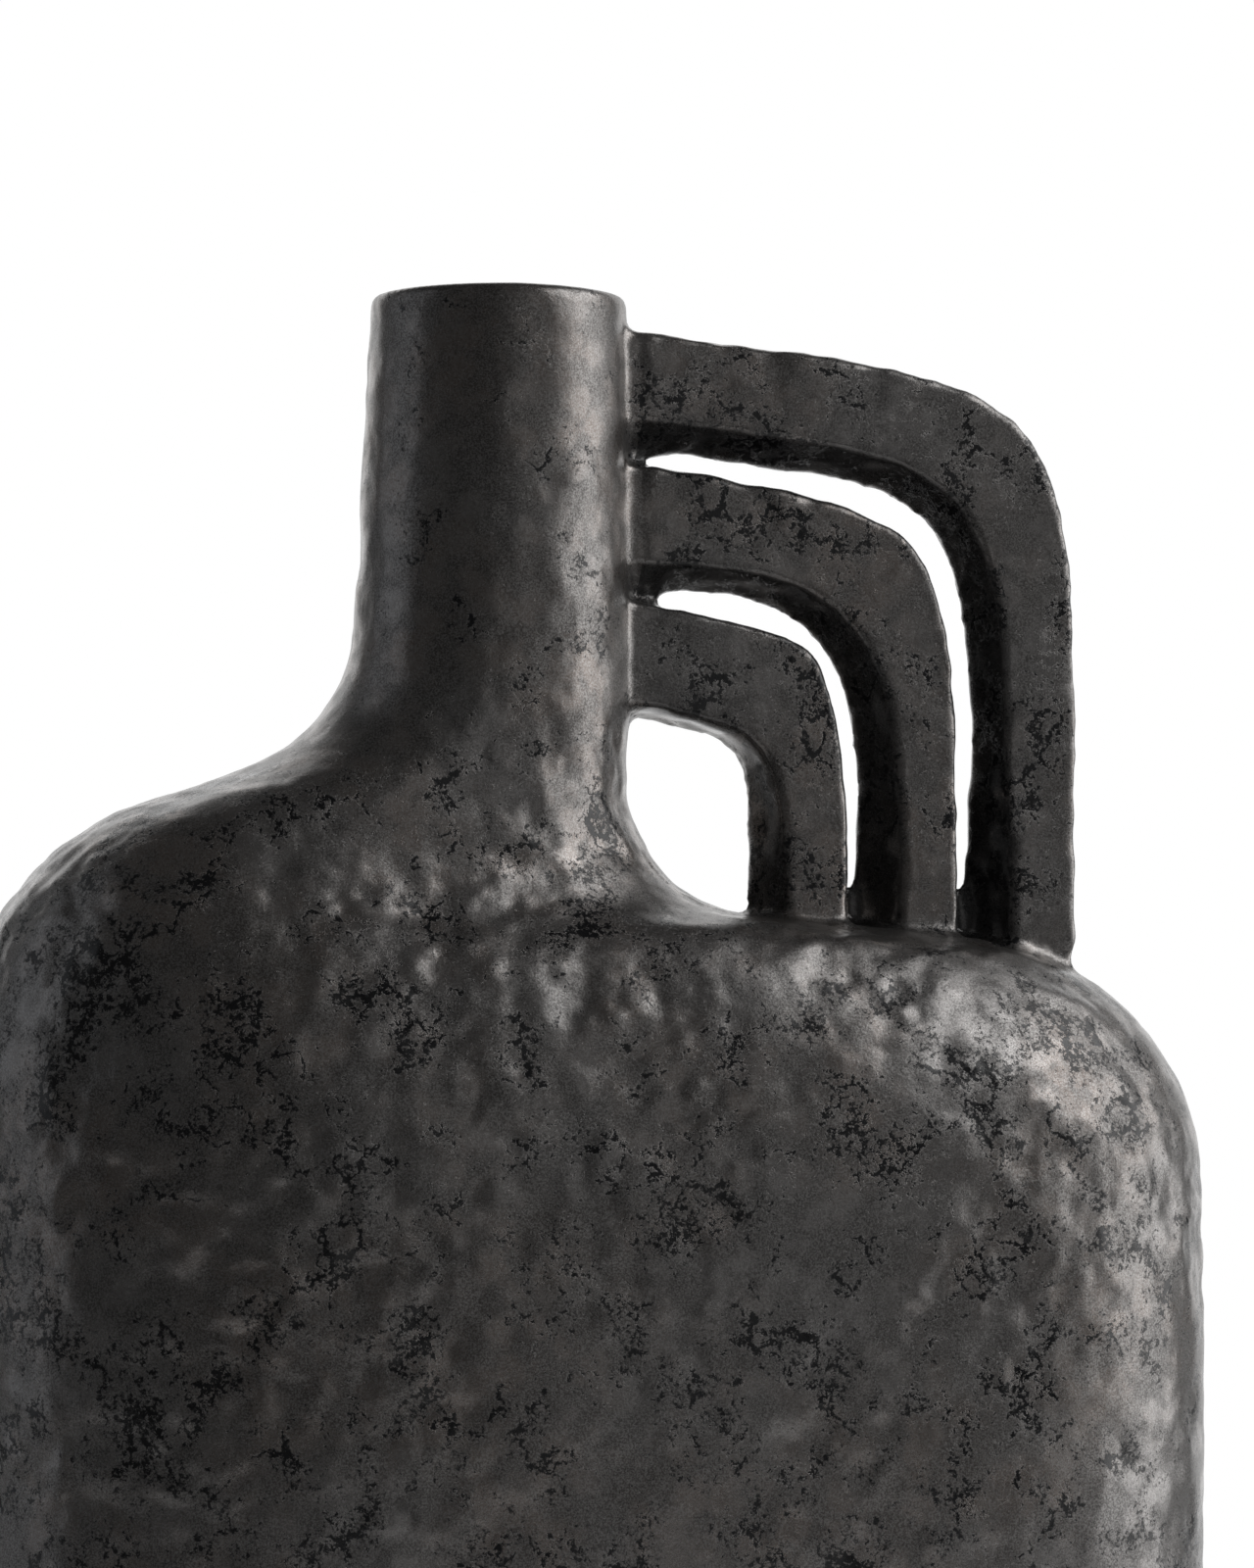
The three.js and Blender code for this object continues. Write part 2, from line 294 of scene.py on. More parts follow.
class Nodes:
    """Adds nodes to one material or world."""

    def __init__(self, tree: bpy.types.NodeTree) -> None:
        """Empties the tree."""
        self.tree = tree
        tree.nodes.clear()

    def add(
        self,
        kind: str,
        settings: dict | None = None,
        inputs: dict | None = None,
        output: int | str = 0,
    ) -> Socket:
        """Adds one node.

        Args:
            kind: Blender's name of the node type.
            settings: the node's own properties, set first.
            inputs: values or links by socket name or number.
            output: name or number of the output that is returned.

        Returns:
            The wanted output, or an empty one where the node has none.
        """
        node = self.tree.nodes.new(kind)
        for name, value in (settings or {}).items():
            setattr(node, name, value)
        for name, value in (inputs or {}).items():
            if isinstance(value, Socket):
                self.tree.links.new(value.link, node.inputs[name])
            else:
                node.inputs[name].default_value = value
        return Socket(self, node.outputs[output] if len(node.outputs) else None)

    def math(self, operation: str, first: object, second: object = 0.0) -> Socket:
        """One Math node on one value or two."""
        return self.add("ShaderNodeMath", {"operation": operation}, {0: first, 1: second})

    def along(self, place: Socket, way: Point) -> Socket:
        """How far a place lies along a direction."""
        return self.add("ShaderNodeVectorMath", {"operation": "DOT_PRODUCT"}, {0: place, 1: way}, "Value")

    def mix(self, factor: object, first: object, second: object) -> Socket:
        """Mixes two colours.

        Args:
            factor: share of the second colour.
            first: the colour at 0.
            second: the colour at 1.

        Returns:
            The mixed colour.
        """
        inputs = {0: factor, 6: first, 7: second}
        return self.add("ShaderNodeMix", {"data_type": "RGBA"}, inputs, output=2)

    def step(self, value: Socket, edge: Pair) -> Socket:
        """A soft step from 0 to 1.

        Args:
            value: what is tested.
            edge: where the step starts and where it ends.

        Returns:
            The share between 0 and 1.
        """
        return self.add(
            "ShaderNodeMapRange",
            {"interpolation_type": "SMOOTHSTEP"},
            {"Value": value, "From Min": edge[0], "From Max": edge[1]},
        )

    def noise(self, place: Socket, kind: Noise, output: int = 0) -> Socket:
        """A noise in object space.

        Args:
            place: where it is read.
            kind: its sizes.
            output: 0 for its value, 1 for its colour.

        Returns:
            The value or the colour.
        """
        inputs = {
            "Vector": self.bent(place, kind.warp) if kind.warp else place,
            "Scale": PER_METRE / kind.size,
            "Detail": kind.detail,
            "Roughness": kind.rough,
        }
        return self.add("ShaderNodeTexNoise", None, inputs, output)

    def bent(self, place: Socket, warp: Warp) -> Socket:
        """Moves a place about by noise.

        Args:
            place: the place.
            warp: size and reach of the noise.

        Returns:
            The moved place.
        """
        push = self.add(
            "ShaderNodeVectorMath",
            {"operation": "SUBTRACT"},
            {0: self.noise(place, Noise(warp.size, warp.detail, warp.rough), output=1), 1: (0.5, 0.5, 0.5)},
        )
        reach = (warp.reach * MM,) * 3
        return self.add(
            "ShaderNodeVectorMath", {"operation": "MULTIPLY_ADD"}, {0: push, 1: reach, 2: place}
        )

    def cells(self, place: Socket, kind: Cells) -> Socket:
        """A pattern of cells.

        Args:
            place: where it is read.
            kind: its sizes and what is measured.

        Returns:
            The distance from the centre or from the rim of a cell, in cells.
        """
        inputs = {"Vector": self.bent(place, kind.warp), "Scale": PER_METRE / kind.size}
        return self.add("ShaderNodeTexVoronoi", {"feature": kind.part.value}, inputs, "Distance")


def new_material(name: str) -> tuple[bpy.types.Material, Nodes, Socket]:
    """Starts a material.

    Args:
        name: its name.

    Returns:
        The material, the maker of its nodes, and the object coordinates.
    """
    material = bpy.data.materials.new(name)
    material.use_nodes = True
    nodes = Nodes(material.node_tree)
    return material, nodes, nodes.add("ShaderNodeTexCoord", output="Object")


@dataclass(frozen=True)
class MetallicGlaze:
    """Dark graphite glaze with a metallic sheen, brown and grey clouds, and black branching mottles."""

    grey: Colour = (0.219, 0.208, 0.203, 1)
    brown: Colour = (0.206, 0.175, 0.158, 1)
    dull: Colour = (0.085, 0.080, 0.077, 1)
    black: Colour = (0.005, 0.005, 0.006, 1)
    glint: Colour = (0.42, 0.41, 0.40, 1)
    metallic: float = 0.88
    roughness: float = 0.31
    black_roughness: float = 0.22
    dull_roughness: float = 0.08
    coat: float = 0.15
    coat_roughness: float = 0.2
    clouds: Noise = Noise(40, 3, 0.6)
    haze: Noise = Noise(9, 6, 0.72, Warp(7, 5))
    curd: Noise = Noise(3.2, 3, 0.6, Warp(3, 1.5))
    patches: Noise = Noise(16, 3, 0.62)
    ragged: Noise = Noise(1.3, 5, 0.78, Warp(1.2, 1.0))
    branches: Noise = Noise(8, 5, 0.65, Warp(5, 8))
    pepper: Noise = Noise(0.8, 3, 0.7)
    grain: Noise = Noise(0.42, 2, 0.7)
    lumps: Cells = Cells(8, Warp(6, 6), CellPart.CENTRE)
    cracks: Cells = Cells(9, Warp(4, 6), CellPart.RIM)
    cloud_edge: Pair = (0.36, 0.62)
    dull_edge: Pair = (0.42, 0.56)
    dull_share: float = 0.78
    dull_mix: Point = (0.45, 0.25, 0.3)
    glint_edge: Pair = (0.36, 0.66)
    glint_share: float = 0.6
    patch_share: float = 0.7
    patch_edge: Pair = (0.38, 0.64)
    high_edge: Pair = (0.3, 0.37)
    strap_edge: Pair = (0.005, 0.02)
    more_on_straps: float = 0.015
    less_on_neck: float = 0.07
    crack_width: float = 0.6
    vein_width: float = 0.09
    vein_limit: float = 0.046
    raggedness: float = 0.3
    vein_edge: Pair = (-0.012, 0.01)
    speck_gain: float = 0.1
    speck_edge: Pair = (0.66, 0.73)
    speck_share: float = 0.7
    bump_strength: float = 0.5
    bump_depth: float = 0.045
    pepper_relief: float = 0.8
    curd_relief: float = 4.0
    black_relief: float = 1.5
    # Share of black in the grooves between the straps: partly the glossier black of pooled glaze, partly
    # painted shade.
    pooled_black_and_painted_shade: float = 0.74
    recess_metal: float = 0.5
    recess_gloss: float = 0.2
    recess_coat: float = 0.6

    def material(self) -> bpy.types.Material:
        """Builds the material.

        Returns:
            The glaze, which reads the attribute recess of the straps and darkens their grooves with it,
            partly as the glossier black of pooled glaze and partly as painted shade.
        """
        material, nodes, place = new_material("metallic_glaze")
        recess = nodes.add("ShaderNodeAttribute", {"attribute_name": "recess"}, output="Fac")
        haze, curd, pepper, grain = (
            nodes.noise(place, kind) for kind in (self.haze, self.curd, self.pepper, self.grain)
        )
        dark = self._mottles(nodes, place, haze, pepper)
        parts = zip((haze, curd, nodes.cells(place, self.lumps)), self.dull_mix)
        first, second, third = (part * share for part, share in parts)
        murk = nodes.step(first + second + third, self.dull_edge)
        clouds = nodes.step(nodes.noise(place, self.clouds), self.cloud_edge)
        base = nodes.mix(murk * self.dull_share, nodes.mix(clouds, self.brown, self.grey), self.dull)
        lit = nodes.mix(nodes.step(grain, self.glint_edge) * self.glint_share, base, self.glint)
        # Painted shade: the grooves between the straps are mixed towards black, on top of the glossier black
        # of glaze pooled there.
        colour = nodes.mix(recess * self.pooled_black_and_painted_shade, nodes.mix(dark, lit, self.black), self.black)
        height = grain + pepper * self.pepper_relief + curd * self.curd_relief - dark * self.black_relief
        relief = {"Strength": self.bump_strength, "Distance": self.bump_depth * MM, "Height": height}
        finish = {
            "Base Color": colour,
            "Metallic": self.metallic * (1 - dark) * (1 - recess * self.recess_metal),
            "Roughness": self.roughness
            + (murk - 0.5) * self.dull_roughness
            - dark * (self.roughness - self.black_roughness)
            - recess * self.recess_gloss,
            "Normal": nodes.add("ShaderNodeBump", None, relief),
            "Coat Weight": self.coat + recess * self.recess_coat,
            "Coat Roughness": self.coat_roughness,
        }
        shader = nodes.add("ShaderNodeBsdfPrincipled", None, finish)
        nodes.add("ShaderNodeOutputMaterial", None, {"Surface": shader})
        return material

    def _mottles(self, nodes: Nodes, place: Socket, haze: Socket, pepper: Socket) -> Socket:
        """Black branching veins with specks, in patches that thin out on the neck.

        Args:
            nodes: the maker of the nodes.
            place: where they are read.
            haze: the noise of the middle size.
            pepper: the noise of the specks.

        Returns:
            The share of black, between 0 and 1.
        """
        upper = nodes.step(nodes.along(place, (0, 0, 1)), self.high_edge)
        beside = nodes.step(nodes.along(place, (1, 0, 0)), self.strap_edge)
        bias = upper * beside * self.more_on_straps - upper * (1 - beside) * self.less_on_neck
        patches = nodes.noise(place, self.patches) * self.patch_share
        amount = nodes.step(patches + haze * (1 - self.patch_share) + bias, self.patch_edge)
        branches = nodes.math("ABSOLUTE", nodes.noise(place, self.branches) - 0.5)
        veins = nodes.math("MINIMUM", branches, nodes.cells(place, self.cracks) * self.crack_width)
        ragged = (nodes.noise(place, self.ragged) - 0.5) * self.raggedness
        lace = nodes.step(amount * self.vein_width - self.vein_limit + ragged - veins, self.vein_edge)
        specks = nodes.step(pepper + amount * self.speck_gain, self.speck_edge) * self.speck_share
        return nodes.math("MAXIMUM", lace, specks)


@dataclass(frozen=True)
class BareClay:
    """Unglazed fired clay of the foot ring."""

    light: Colour = (0.36, 0.29, 0.23, 1)
    dark: Colour = (0.22, 0.17, 0.13, 1)
    blotch: Noise = Noise(PER_METRE / 90, 5)
    grit: Noise = Noise(PER_METRE / 1500, 3)
    blotch_share: float = 0.6
    blotch_edge: Pair = (0.35, 0.65)
    roughness: float = 0.85
    grit_roughness: float = 0.2
    bump_strength: float = 0.5
    bump_depth: float = 0.06

    def material(self) -> bpy.types.Material:
        """Builds the material.

        Returns:
            The bare clay.
        """
        material, nodes, place = new_material("bare_clay")
        blotch, grit = nodes.noise(place, self.blotch), nodes.noise(place, self.grit)
        mottle = blotch * self.blotch_share + grit * (1 - self.blotch_share)
        relief = {"Strength": self.bump_strength, "Distance": self.bump_depth * MM, "Height": grit}
        finish = {
            "Base Color": nodes.mix(nodes.step(mottle, self.blotch_edge), self.light, self.dark),
            "Roughness": self.roughness + (grit - 0.5) * self.grit_roughness,
            "Normal": nodes.add("ShaderNodeBump", None, relief),
        }
        shader = nodes.add("ShaderNodeBsdfPrincipled", None, finish)
        nodes.add("ShaderNodeOutputMaterial", None, {"Surface": shader})
        return material


# The vase


@dataclass(frozen=True)
class Work:
    """One kind of unevenness of the hand-worked surface, in millimetres; level is the grey that stays."""

    name: str
    size: float
    depth: float
    group: Group
    level: float
    detail: int = 1


@dataclass(frozen=True)
class SlotLine:
    """Middle line of a slot between two straps: straight from the neck, round a full bend, and down."""

    neck_z: float
    corner_z: float
    reach: float
    bend_reach: float
    bend_drop: float
    fullness: float
    neck_x: float = 8.4
    steps: int = 24

    @property
    def slope(self) -> float:
        """How much the straight part falls per millimetre."""
        return (self.neck_z - self.corner_z) / (self.reach - self.neck_x)

    def point(self, share: float) -> Pair:
        """A place on the bend.

        Args:
            share: 0 where the bend starts and 1 where it ends.

        Returns:
            Its x and z in millimetres.
        """
        start = (self.reach - self.bend_reach, self.corner_z + self.slope * self.bend_reach)
        end = (self.reach, self.corner_z - self.bend_drop)
        pulls = ((1 - share) ** 2, 2 * self.fullness * share * (1 - share), share**2)
        spots = (start, (self.reach, self.corner_z), end)
        return tuple(sum(pull * spot[i] for pull, spot in zip(pulls, spots)) / sum(pulls) for i in (0, 1))


@dataclass(frozen=True)
class SlotFoot:
    """Lower end of a slot, in millimetres: a deeper groove on each face, and a slit that narrows down."""

    x: float
    half_width: float = 2.8
    reach: float = 12.6
    low: float = 270.0
    top: float = 302.0
    web_half: float = 1.6
    outside: float = 15.0
    slit_half: float = 1.0
    slit_flare: float = 0.9
    slit_deep: float = 4.0
    slit_low: float = 289.5
    slit_top: float = 303.0

    def cut(self, strap: bpy.types.Object) -> None:
        """Deepens the groove over the web, and runs the slot down into the web.

        Args:
            strap: one of the straps beside the slot.
        """
        for side in (-1, 1):
            near, far = sorted((side * self.web_half, side * self.outside))
            low, high = (self.x - self.half_width, near, self.low), (self.x + self.reach, far, self.top)
            groove = box_between(low, high, "groove")
            for vertex in groove.data.vertices:
                inner = abs(vertex.co.y) < (self.web_half + self.outside) / 2 * MM
                if inner and vertex.co.x > self.x * MM:
                    vertex.co.x = (self.x + self.half_width) * MM
            combine(strap, groove, Solver.TAKE_AWAY)
            remove(groove)
        slit = box_between(
            (self.x - self.slit_half, -self.slit_deep, self.slit_low),
            (self.x + self.slit_half, self.slit_deep, self.slit_top),
            "slit",
        )
        for vertex in slit.data.vertices:
            if vertex.co.z > (self.slit_low + self.slit_top) / 2 * MM:
                vertex.co.x += math.copysign(self.slit_flare * MM, vertex.co.x - self.x * MM)
        combine(strap, slit, Solver.TAKE_AWAY)
        remove(slit)


@dataclass
class Skin:
    """Outer surface of the whole vase, with the handles grown together with neck and shoulder."""

    voxel: float = 1.2
    works: tuple[Work, ...] = (
        Work("swell", 30, 1.6, Group.SHELL, 0.78),
        Work("dimple", 11, 1.9, Group.SHELL, 0.8),
        Work("pit", 5, 0.6, Group.SHELL, 0.6),
        Work("strap_swell", 28, 1.3, Group.STRAPS, 0.6),
        Work("strap_dimple", 10, 1.1, Group.STRAPS, 0.6),
        Work("strap_pit", 5, 0.25, Group.STRAPS, 0.5),
        Work("rag", 2.6, 1.6, Group.RIDGE, 0.48, 2),
    )
    smooth_factor: float = 0.5
    smoothing: int = 7
    lip_smoothing: int = 16
    handles: tuple[str, ...] = ("handle_outer", "handle_middle", "handle_inner")
    shells: tuple[str, ...] = ("body_wall", "shoulder", "neck")
    slots: tuple[SlotLine, ...] = (
        SlotLine(393.5, 384.8, 90.2, 60, 79, 2.3),
        SlotLine(360.3, 353.8, 62.0, 34, 55, 1.5),
    )
    feet: tuple[SlotFoot, ...] = (SlotFoot(90.2), SlotFoot(62.5))
    seat_reach: float = 0.6
    seat_overlap: float = 2.0
    ledge_low: Point = (119.0, 0, 273.0)
    ledge_high: Point = (8.8, 0, 286.5)
    ledge_blend: float = 4.0
    strap_start: float = 8.0
    strap_blend: float = 3.0
    strap_half: float = 15.0
    strap_face: float = 12.3
    face_blend: float = 1.4
    ridge_half: Pair = (0.6, 0.8)
    ridge_reach: float = 2.6
    # Where the grooves between the straps get painted shade, and how far the ridges are spared it.
    recess_reach: float = 17.0
    recess_blend: float = 2.0
    tip_half: float = 1.2
    inner_tip_half: float = 4.5
    tip_recess: float = 0.55
    tip_blend: float = 3.0
    web_top: float = 312.0
    web_beside: Pair = (-4.0, 13.0)
    web_reach: float = 24.0
    web_half: float = 7.0
    wear_size: float = 38.0
    mean_wear: float = 0.75
    least_wear: float = 0.35
    lip_z: float = 432.0
    lip_round: float = 7.0
    lip_calm: float = 12.0
    lip_wear: float = 0.1
    neck_calm: Pair = (360.0, 40.0)
    neck_wear: float = 0.7
    neck_axis: float = -24.0
    bore: float = 25.2
    bore_below: float = 12.0
    bore_above: float = 2.5
    plug_radius: float = 28.5
    plug_low: float = 404.0
    plug_high: float = 419.0
    floor_top: float = 14.0
    floor_gap: float = 0.05
    floor_dip: float = 0.5
    block_half: Pair = (200.0, 100.0)
    widest_hollow: float = 390.0
    outer: bpy.types.Object = field(init=False)
    cavity: bpy.types.Object = field(init=False)
    ridges: KDTree = field(init=False)

    def build(self) -> None:
        """Makes the outer surface and the solid that fills the hollow."""
        body = self._body()
        self._fill_hollow(body)
        parts = [body, self._floor(), *map(self._handle, self.handles), self._plug()]
        select_only(*parts)
        bpy.ops.object.join()
        self.outer = bpy.context.view_layer.objects.active
        self.outer.name = "skin"
        apply_modifier(self.outer, "REMESH", mode="VOXEL", voxel_size=self.voxel * MM)
        self._work_surface()

    def _fill_hollow(self, body: bpy.types.Object) -> None:
        """Makes the solid that fills the hollow body and reaches out of the mouth.

        Args:
            body: the hollow vase without its floor.
        """
        half_width, half_depth = self.block_half
        block = box_between(
            (-half_width, -half_depth, self.floor_top + self.floor_gap),
            (half_width, half_depth, self.plug_low + 1),
            "block",
        )
        combine(block, body, Solver.TAKE_AWAY)
        select_only(block)
        bpy.ops.mesh.separate(type="LOOSE")
        islands = sorted(bpy.context.selected_objects, key=lambda item: item.dimensions.x, reverse=True)
        self.cavity = next(item for item in islands if item.dimensions.x < self.widest_hollow * MM)
        remove(*[item for item in islands if item != self.cavity])
        self.cavity.name = "cavity"
        for vertex in self.cavity.data.vertices:
            if vertex.co.z < (self.floor_top + 2 * self.floor_gap) * MM:
                vertex.co.z = (self.floor_top - self.floor_dip) * MM
        low, high = self.plug_low - self.bore_below, self.plug_high + self.bore_above
        bore = cylinder_between((self.neck_axis, 0), self.bore, low, high)
        combine(self.cavity, bore, Solver.ADD)
        remove(bore)

    def _body(self) -> bpy.types.Object:
        """Joins body, shoulder and neck.

        Returns:
            One smooth hollow without the faces at its seams.
        """
        body = merged_copy(list(self.shells), "core")
        select_only(body)
        bpy.ops.object.mode_set(mode="EDIT")
        bpy.ops.mesh.select_all(action="DESELECT")
        bpy.ops.mesh.select_mode(type="FACE")
        bpy.ops.mesh.select_interior_faces()
        bpy.ops.mesh.delete(type="FACE")
        bpy.ops.object.mode_set(mode="OBJECT")
        self._crease(body)
        subdivide(body)
        return body

    def _floor(self) -> bpy.types.Object:
        """Copies the floor slab.

        Returns:
            The slab with its rounded edge.
        """
        floor = merged_copy(["base"], "floor")
        self._crease(floor)
        subdivide(floor)
        return floor

    def _crease(self, item: bpy.types.Object) -> None:
        """Keeps the edges of flat seam faces sharp.

        Args:
            item: the mesh that is subdivided next.
        """
        select_only(item)
        bpy.ops.object.mode_set(mode="EDIT")
        bpy.ops.mesh.select_all(action="DESELECT")
        bpy.ops.mesh.edges_select_sharp(sharpness=SHARP_ANGLE)
        bpy.ops.transform.edge_crease(value=1)
        bpy.ops.object.mode_set(mode="OBJECT")

    def _handle(self, name: str) -> bpy.types.Object:
        """Copies one strap and pushes its ends into the neck and the shoulder.

        Args:
            name: its node.

        Returns:
            The strap, with the deeper feet of the slots beside it.
        """
        strap = merged_copy([name], name + "_core")
        for foot in self.feet:
            foot.cut(strap)
        neck = surface_tree(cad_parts["neck"])
        ledge = surface_tree(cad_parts["shoulder"])
        reach = self.seat_reach * MM
        for vertex in strap.data.vertices:
            near_neck = neck.find_nearest(vertex.co)[3]
            near_ledge = ledge.find_nearest(vertex.co)[3]
            if near_neck < reach:
                vertex.co.x -= self.seat_overlap * MM
            elif near_ledge < reach:
                vertex.co.z -= self.seat_overlap * MM
        return strap

    def _plug(self) -> bpy.types.Object:
        """Closes the bore so that the hollow becomes a surface of its own."""
        return cylinder_between((self.neck_axis, 0), self.plug_radius, self.plug_low, self.plug_high)

    def _find_ridges(self) -> KDTree:
        """Gathers the ridges that run along the inner sides of the straps.

        Returns:
            A search tree of their corners.
        """
        low, high = (half * MM for half in self.ridge_half)
        ridges = [
            vertex.co.copy()
            for name in self.handles
            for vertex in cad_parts[name].data.vertices
            if low < abs(vertex.co.y) < high
        ]
        tree = KDTree(len(ridges))
        for index, place in enumerate(ridges):
            tree.insert(place, index)
        tree.balance()
        return tree

    def mark_recess(self, strap: bpy.types.Object) -> None:
        """Stores on a strap how deep each place lies between the straps, for the glaze to read.

        The ridges catch more light than the grooves beside them, most of all round the finger opening, so
        they are darkened less: the glaze paints shade into the grooves, on top of the glossier black of
        glaze pooled there.

        Args:
            strap: the finished piece.
        """
        innermost = strap.name.startswith("inner")
        tip, bare = (self.inner_tip_half, 0.0) if innermost else (self.tip_half, self.tip_recess)
        depths = []
        for vertex in strap.data.vertices:
            out = abs(vertex.co.y) / MM
            inward = (self.strap_face - out) / self.face_blend
            beside = (self.recess_reach - self.ridges.find(vertex.co)[2] / MM) / self.recess_blend
            groove = (out - tip) / self.tip_blend
            # Webs at the slot ends get the full painted shade, which stands in for their depth.
            if bare and self._in_web(vertex.co.x / MM, vertex.co.z / MM):
                beside = groove = 1.0
            depths.append(clamp(inward) * clamp(beside) * (bare + (1 - bare) * clamp(groove)))
        layer = strap.data.attributes.new("recess", "FLOAT", "POINT")
        layer.data.foreach_set("value", depths)

    def _in_web(self, x: float, z: float) -> bool:
        """Tells whether a place seen from the front lies on a web that closes the end of a slot.

        Args:
            x: its distance from the middle of the vase.
            z: its height.

        Returns:
            Whether it lies on a web at the shoulder or at the neck.
        """
        left, right = self.web_beside
        at_foot = z < self.web_top and any(left < x - foot.x < right for foot in self.feet)
        return at_foot or (x < self.web_reach and any(abs(z - s.neck_z) < self.web_half for s in self.slots))

    def _groups(self) -> None:
        """Marks the ragged ridges of the slots, the straps, the lip, and the rest of the vase."""
        self.ridges = self._find_ridges()
        slope = (self.ledge_high[2] - self.ledge_low[2]) / (self.ledge_low[0] - self.ledge_high[0])
        groups = {group: self.outer.vertex_groups.new(name=group.value) for group in Group}
        lip_start = self.lip_z - self.lip_round
        calm_top, calm_blend = self.neck_calm
        for vertex in self.outer.data.vertices:
            x, y, z = (value / MM for value in vertex.co)
            over = z - (self.ledge_high[2] - slope * (x - self.ledge_high[0]))
            strap = clamp((x - self.strap_start) / self.strap_blend) * clamp(over / self.ledge_blend)
            strap *= abs(y) < self.strap_half
            groups[Group.STRAPS].add([vertex.index], strap, "REPLACE")
            wear = clamp(self.mean_wear + noise.noise(vertex.co / (self.wear_size * MM)), self.least_wear)
            calm = min(
                clamp((self.lip_z - z) / self.lip_calm, self.lip_wear),
                clamp((calm_top - z) / calm_blend, self.neck_wear),
            )
            groups[Group.SHELL].add([vertex.index], (1 - strap) * wear * calm, "REPLACE")
            if z > lip_start:
                groups[Group.LIP].add([vertex.index], (z - lip_start) / self.lip_round, "REPLACE")
            if strap > 0:
                near = self.ridges.find(vertex.co)[2] / MM
                if near < self.ridge_reach:
                    groups[Group.RIDGE].add([vertex.index], 1 - near / self.ridge_reach, "REPLACE")

    def _work_surface(self) -> None:
        """Rounds the joins and works the hand-made swells, dimples and ragged ridges into the surface."""
        self._groups()
        for group, rounds in ((Group.RIDGE, self.smoothing), (Group.LIP, self.lip_smoothing)):
            apply_modifier(
                self.outer,
                "SMOOTH",
                factor=self.smooth_factor,
                iterations=rounds,
                vertex_group=group.value,
                invert_vertex_group=group is Group.RIDGE,
            )
        for work in self.works:
            texture = bpy.data.textures.new(work.name, "CLOUDS")
            texture.noise_scale = work.size * MM
            texture.noise_depth = work.detail
            apply_modifier(
                self.outer,
                "DISPLACE",
                texture=texture,
                texture_coords="LOCAL",
                strength=work.depth * MM,
                mid_level=work.level,
                vertex_group=work.group.value,
            )
        select_only(self.outer)
        bpy.ops.object.shade_smooth()


